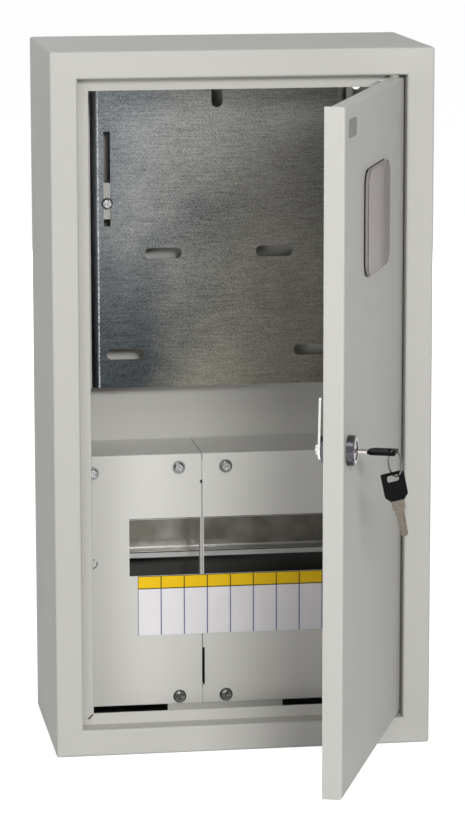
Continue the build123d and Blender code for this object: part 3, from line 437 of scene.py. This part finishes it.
def acrylic_sheet(name):
    """Cast acrylic under a thin film: hazy, with a faint warm tint and a lip in painted shade at
    its root and painted highlight above.

    The film dulls the reflections at a low angle, so the IOR is below that of bare acrylic.
    """
    material, tree = blank_material(name)
    coordinates = node(tree, "ShaderNodeTexCoord").outputs
    place = coordinates["Object"]
    smear = node(tree, "ShaderNodeTexNoise", {"Vector": place, "Scale": per(40), "Detail": 5.0})
    clear = node(
        tree,
        "ShaderNodeMix",
        {"Factor": smear, MIX_A: linear("#978582"), MIX_B: linear("#a2908d")},
        data_type="RGBA",
    )
    facing = node(
        tree, "ShaderNodeVectorMath", (coordinates["Normal"], DOOR_OUT), operation="DOT_PRODUCT"
    )
    flat = node(tree, "ShaderNodeMath", (facing,), operation="ABSOLUTE")
    turned = node(tree, "ShaderNodeMapRange", (flat, 0.45, 0.8, 1.0, 0.0))
    face = HINGE.dot(DOOR_OUT) + DOOR_FACE
    risen = node(tree, "ShaderNodeVectorMath", (place, DOOR_OUT), operation="DOT_PRODUCT")
    rooted = node(tree, "ShaderNodeMapRange", (risen, face + PANE_ROOT, face + PANE_LIP, 1.0, 0.0))
    # The turned lip is painted: dark as shade at its root, light as a highlight above.
    edge = node(
        tree,
        "ShaderNodeMix",
        {"Factor": rooted, MIX_A: linear("#dedcd9"), MIX_B: linear("#1c1a19")},
        data_type="RGBA",
    )
    colour = node(
        tree, "ShaderNodeMix", {"Factor": turned, MIX_A: clear, MIX_B: edge}, data_type="RGBA"
    )
    sheen = node(tree, "ShaderNodeMapRange", (smear, NOISE_LOW, NOISE_HIGH, 0.09, 0.15))
    shader = node(
        tree,
        "ShaderNodeBsdfPrincipled",
        {
            "Base Color": colour,
            "Roughness": sheen,
            "IOR": 1.2,
            "Specular IOR Level": 0.2,
            "Transmission Weight": 0.72,
        },
    )
    node(tree, "ShaderNodeOutputMaterial", {"Surface": shader})
    return material


def printed_label(name, left, top):
    """Offset print on film: a yellow band over white fields, ruled in brown and violet blue."""
    material, tree = blank_material(name)
    place = node(tree, "ShaderNodeTexCoord").outputs["Object"]
    at = node(tree, "ShaderNodeSeparateXYZ", (place,)).outputs
    along = node(tree, "ShaderNodeMath", (at["X"], left), operation="SUBTRACT")
    fields = node(tree, "ShaderNodeMath", (along, LABEL_FIELD), operation="DIVIDE")
    within = node(tree, "ShaderNodeMath", (fields,), operation="FRACT")
    nearest = node(tree, "ShaderNodeMath", (within, 0.5), operation="PINGPONG")
    upright = node(
        tree, "ShaderNodeMath", (nearest, LABEL_RULE / LABEL_FIELD), operation="LESS_THAN"
    )
    down = node(tree, "ShaderNodeMath", (top, at["Z"]), operation="SUBTRACT")
    band = node(tree, "ShaderNodeMath", (down, LABEL_BAND), operation="LESS_THAN")
    to_line = node(tree, "ShaderNodeMath", (down, LABEL_BAND), operation="PINGPONG")
    level = node(tree, "ShaderNodeMath", (to_line, LABEL_RULE), operation="LESS_THAN")
    boxed = node(tree, "ShaderNodeMath", (level, band), operation="MULTIPLY")
    under = node(tree, "ShaderNodeMath", (down, LABEL_BAND, LABEL_RULE), operation="COMPARE")
    framed = node(tree, "ShaderNodeMath", (boxed, under), operation="MAXIMUM")

    ink = node(tree, "ShaderNodeTexNoise", {"Vector": place, "Scale": per(12), "Detail": 3.0})
    paper = node(
        tree,
        "ShaderNodeMix",
        {"Factor": ink, MIX_A: linear("#f0edf1"), MIX_B: linear("#faf7f9")},
        data_type="RGBA",
    )
    yellow = node(
        tree,
        "ShaderNodeMix",
        {"Factor": ink, MIX_A: linear("#fccb08"), MIX_B: linear("#ffd41c")},
        data_type="RGBA",
    )
    brown = linear("#4c3c0c")
    rule = node(
        tree,
        "ShaderNodeMix",
        {"Factor": band, MIX_A: linear("#5c5697"), MIX_B: brown},
        data_type="RGBA",
    )
    colour = paper
    for part, tone in ((band, yellow), (upright, rule), (framed, brown)):
        colour = node(
            tree, "ShaderNodeMix", {"Factor": part, MIX_A: colour, MIX_B: tone}, data_type="RGBA"
        )
    shader = node(
        tree, "ShaderNodeBsdfPrincipled", {"Base Color": colour, "IOR": 1.45, "Roughness": 0.5}
    )
    node(tree, "ShaderNodeOutputMaterial", {"Surface": shader})
    return material


def wear(material, *nodes):
    """Gives CAD nodes a material in place of their packed one."""
    for name in nodes:
        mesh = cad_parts[name].data
        mesh.materials.clear()
        mesh.materials.append(material)


# Painted sheet

# The case is a light warm grey. Its inside behind the covers is painted dark grey as shade.
shell_low, shell_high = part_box("body_shell")
cover_low, cover_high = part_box("cover_panel_left")
half_sheet = Vector((HALF_SHEET, HALF_SHEET, HALF_SHEET))
shaded_behind_covers = (
    Vector((shell_low.x, cover_low.y + SHADE_BEHIND, shell_low.z)) + half_sheet,
    Vector((shell_high.x, shell_high.y, cover_high.z - SHADE_BELOW)) - half_sheet,
)
wear(
    powder_coat("shell_powder_coat", "#c9c8c3", "#c3c2bd", "#545452", shaded_behind_covers),
    "body_shell",
)
# The door and the folded brackets have the same light grey all over.
wear(
    powder_coat("grey_powder_coat", "#c9c8c3", "#c3c2bd"),
    "door_panel",
    "cover_bracket_top",
    "cover_bracket_bottom",
    "cover_tab_left",
    "cover_tab_right",
    "plate_bracket_left",
    "plate_bracket_right",
    "side_post_left",
    "side_post_right",
    "rail_support_left",
    "rail_support_right",
)
# The covers' coat is painted a little whiter than the case's, as painted light making up for the
# shade of their recess.
wear(
    powder_coat("cover_powder_coat", "#e2e1dc", "#dcdbd6"),
    "cover_panel_left",
    "cover_panel_right",
)

# Bare and plated metal

# The meter plate is mottled grey zinc with a painted highlight down each bend, painted shade under
# the case's top edge and a painted reflection growing lighter upwards.
plate_low, plate_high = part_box("meter_plate")
wear(galvanised_sheet("galvanised_sheet", plate_low, plate_high), "meter_plate")
# The rail shows two lips in painted highlight above and below a dull brownish base.
rail_low, rail_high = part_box("din_rail")
wear(rolled_rail("rolled_zinc_rail", (rail_low.z + rail_high.z) / 2), "din_rail")
# Bright zinc on fasteners, dented, with painted glints in white and near black.
wear(
    plated_metal("bright_zinc", "#ffffff", "#303030", rough=0.14, dents=0.8),
    "cover_screws",
    "plate_screws",
    "rail_screws",
    "hinge_pin_top",
    "hinge_pin_bottom",
    "lock_nut",
    "cam_screw",
    "earth_stud",
    "earth_washer",
    "earth_nut",
    "earth_bar_screws",
    "neutral_bar_screws",
    "earth_spacers",
)
# Aged zinc on stamped washers: mid grey and half dull.
wear(plated_metal("grey_zinc", "#a6a6a4", "#727270", rough=0.22), "cover_washers")
# Clear zinc on the stamped cam: nearly white.
wear(plated_metal("white_zinc", "#f6f5f1", "#e2e1dd", rough=0.2), "lock_cam")
# Polished chrome on the cast lock: its dark tone is a painted reflection of dark surroundings,
# under sharp reflections.
wear(
    plated_metal("polished_chrome", "#5e5e62", "#4b4b4f", rough=0.07),
    "lock_body",
    "lock_plug",
)
# Nickel on the milled key blades: pale and warm on one, worn to brownish grey on the other.
wear(plated_metal("nickel_plate", "#d3ccc8", "#b0a9a4", rough=0.22), "key_blade")
wear(plated_metal("worn_nickel", "#817a70", "#59534b", rough=0.22), "spare_key_blade")
# Spring steel wire: mid grey with narrow glints.
wear(plated_metal("ring_steel", "#8a8886", "#56544f", rough=0.14), "key_ring")
# Drawn brass: golden, with fine streaks along the terminal bars.
wear(
    plated_metal("drawn_brass", "#d9b468", "#b78f45", rough=0.3, streaks=(0.05, 1.0, 1.0)),
    "earth_bar",
    "neutral_bar",
)

# Plastics and print

# Black moulded grips: matt, nearly without shine.
wear(
    moulded_plastic(
        "black_key_plastic", "#0c0c0d", "#070708", rough=0.55, grain_mm=0.6, shine=0.1
    ),
    "key_bow",
    "spare_key_bow",
)
# Moulded polyamide, satin: blue under the neutral bar, grey in the hinges.
wear(
    moulded_plastic("blue_insulator", "#24509a", "#1b4187", rough=0.45, grain_mm=0.8),
    "neutral_insulators",
)
wear(
    moulded_plastic("grey_nylon", "#b4b3ad", "#a6a59f", rough=0.5, grain_mm=0.8),
    "hinge_washers",
)
# The pane lets the wall show through as a warm haze.
wear(acrylic_sheet("clear_acrylic"), "window_pane")
# The label's printed fields are flat colour with crisp lines.
label_low, label_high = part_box("label_strip")
wear(printed_label("printed_label", label_low.x, label_high.z), "label_strip")


# Pieces that only the looks need


def door_frame(along, up, out):
    """Placement on the door's plane: X along it, Y up and Z out of its face."""
    origin = HINGE + DOOR_ALONG * along + Vector((0.0, 0.0, up)) + DOOR_OUT * out
    turn = Matrix((DOOR_ALONG, Vector((0.0, 0.0, 1.0)), DOOR_OUT)).transposed()
    return Matrix.Translation(origin) @ turn.to_4x4()


def piece(name, mesh_maker, material, body):
    """Makes one object from a bmesh, with its place in its mesh, on a CAD body."""
    shape = bmesh.new()
    mesh_maker(shape)
    bmesh.ops.recalc_face_normals(shape, faces=shape.faces)
    mesh = bpy.data.meshes.new(name)
    shape.to_mesh(mesh)
    shape.free()
    mesh.materials.append(material)
    made = bpy.data.objects.new(name, mesh)
    bpy.context.scene.collection.objects.link(made)
    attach(made, body)
    return made


def blank_badge(shape):
    """A blank nameplate with rounded corners and a raised rim."""
    bmesh.ops.create_cube(shape, size=1.0)
    size = (BADGE_WIDTH, BADGE_HEIGHT, BADGE_THICKNESS)
    bmesh.ops.scale(shape, vec=size, verts=shape.verts)
    bmesh.ops.translate(shape, vec=(0.0, 0.0, BADGE_THICKNESS / 2), verts=shape.verts)
    posts = [
        edge
        for edge in shape.edges
        if abs(edge.verts[0].co.z - edge.verts[1].co.z) > BADGE_THICKNESS / 2
    ]
    bmesh.ops.bevel(
        shape,
        geom=posts,
        offset=BADGE_CORNER,
        segments=4,
        profile=0.5,
        affect="EDGES",
        material=-1,
    )
    face = max(shape.faces, key=lambda f: f.calc_center_median().z)
    bmesh.ops.inset_region(shape, faces=[face], thickness=BADGE_RIM, depth=0.0)
    bmesh.ops.inset_region(shape, faces=[face], thickness=BADGE_STEP, depth=-BADGE_STEP)
    place = door_frame(DOOR_FREE_EDGE + BADGE_FROM_EDGE, BADGE_UP, DOOR_FACE)
    bmesh.ops.transform(shape, matrix=place, verts=shape.verts)


# Satin film on a moulded plate: mid grey with a soft shine.
badge_film = moulded_plastic(
    "satin_badge_film", "#8b8b89", "#80807e", rough=0.5, grain_mm=1.0, shine=0.25
)
piece("blank_badge", blank_badge, badge_film, "door")


# Stage: pale floor, soft lights, white surround and the camera


def seen_by_eye(tree):
    """1 where a ray comes from the camera, a mirror or a clear pane, else 0."""
    path = node(tree, "ShaderNodeLightPath").outputs
    mirrored = node(
        tree,
        "ShaderNodeMath",
        (path["Is Glossy Ray"], path["Is Transmission Ray"]),
        operation="MAXIMUM",
    )
    return node(tree, "ShaderNodeMath", (path["Is Camera Ray"], mirrored), operation="MAXIMUM")


def pale_floor():
    """A matt white sweep whose own glow brings it up to the white of the surround."""
    material, tree = blank_material("pale_floor")
    matt = node(tree, "ShaderNodeBsdfDiffuse", {"Color": linear("#c6c6c6")})
    lift = node(tree, "ShaderNodeMath", (seen_by_eye(tree), FLOOR_GLOW), operation="MULTIPLY")
    glow = node(tree, "ShaderNodeEmission", {"Color": WHITE, "Strength": lift})
    both = node(tree, "ShaderNodeAddShader", (matt, glow))
    node(tree, "ShaderNodeOutputMaterial", {"Surface": both})
    return material


floor_shape = bmesh.new()
bmesh.ops.create_grid(floor_shape, x_segments=1, y_segments=1, size=FLOOR_HALF)
bmesh.ops.translate(
    floor_shape, vec=(0.0, 0.0, cad_low.z - FLOOR_DROP), verts=floor_shape.verts
)
floor_mesh = bpy.data.meshes.new("floor")
floor_shape.to_mesh(floor_mesh)
floor_shape.free()
floor_mesh.materials.append(pale_floor())
floor = bpy.data.objects.new("floor", floor_mesh)
bpy.context.scene.collection.objects.link(floor)


def softbox(name, at, aim, width, height, watts, mirrored=True):
    """A softbox, aimed at a point, that metal may or may not mirror."""
    lamp = bpy.data.lights.new(name, "AREA")
    lamp.shape = "RECTANGLE"
    lamp.size = width
    lamp.size_y = height
    lamp.energy = watts
    made = bpy.data.objects.new(name, lamp)
    made.location = at
    made.rotation_euler = (Vector(aim) - Vector(at)).to_track_quat("-Z", "Y").to_euler()
    made.visible_glossy = mirrored
    bpy.context.scene.collection.objects.link(made)


# Metal would mirror the strongest lamps as white patches, so it mirrors the others alone.
case_front = (0.0, -0.1, 0.0)
softbox("key_light", (0.2, -2.5, 0.85), case_front, 0.8, 0.4, KEY_WATTS, mirrored=False)
softbox(
    "fill_light", (-1.1, -2.4, 0.12), (0.05, -0.1, -0.05), 0.9, 0.6, FILL_WATTS, mirrored=False
)
softbox("glint_light", (0.1, -2.5, 0.75), case_front, 0.25, 0.25, GLINT_WATTS)
softbox("high_light", (-0.4, -1.75, 2.2), case_front, 1.2, 1.2, HIGH_WATTS)
softbox("back_light", (0.3, 2.6, 0.15), (0.0, 0.0, 0.0), 0.6, 0.5, BACK_WATTS, mirrored=False)
softbox("side_light", (-0.42, 0.0, 0.5), (-0.14, -0.08, 0.15), 0.25, 0.25, SIDE_WATTS)

world = bpy.data.worlds.new("studio")
bpy.context.scene.world = world
world.use_nodes = True
sky_tree = world.node_tree
sky_tree.nodes.clear()
ambient = node(sky_tree, "ShaderNodeBackground", {"Color": WHITE, "Strength": AMBIENT})
surround = node(sky_tree, "ShaderNodeBackground", {"Color": WHITE, "Strength": 1.0})
sky = node(sky_tree, "ShaderNodeMixShader", (seen_by_eye(sky_tree), ambient, surround))
node(sky_tree, "ShaderNodeOutputWorld", {"Surface": sky})

lens = bpy.data.cameras.new("camera")
lens.sensor_width = SENSOR
lens.lens = FOCAL_PIXELS * SENSOR / FRAME_HEIGHT_PIXELS
lens.clip_start = 0.1
lens.clip_end = 100.0
camera = bpy.data.objects.new("camera", lens)
camera.location = CAMERA_AT
looking = (CAMERA_LOOKS_AT - CAMERA_AT).to_track_quat("-Z", "Y").to_matrix().to_4x4()
camera.rotation_euler = (looking @ Matrix.Rotation(CAMERA_ROLL, 4, "Z")).to_euler()
bpy.context.scene.collection.objects.link(camera)
bpy.context.scene.camera = camera
bpy.context.scene.view_settings.view_transform = "Standard"
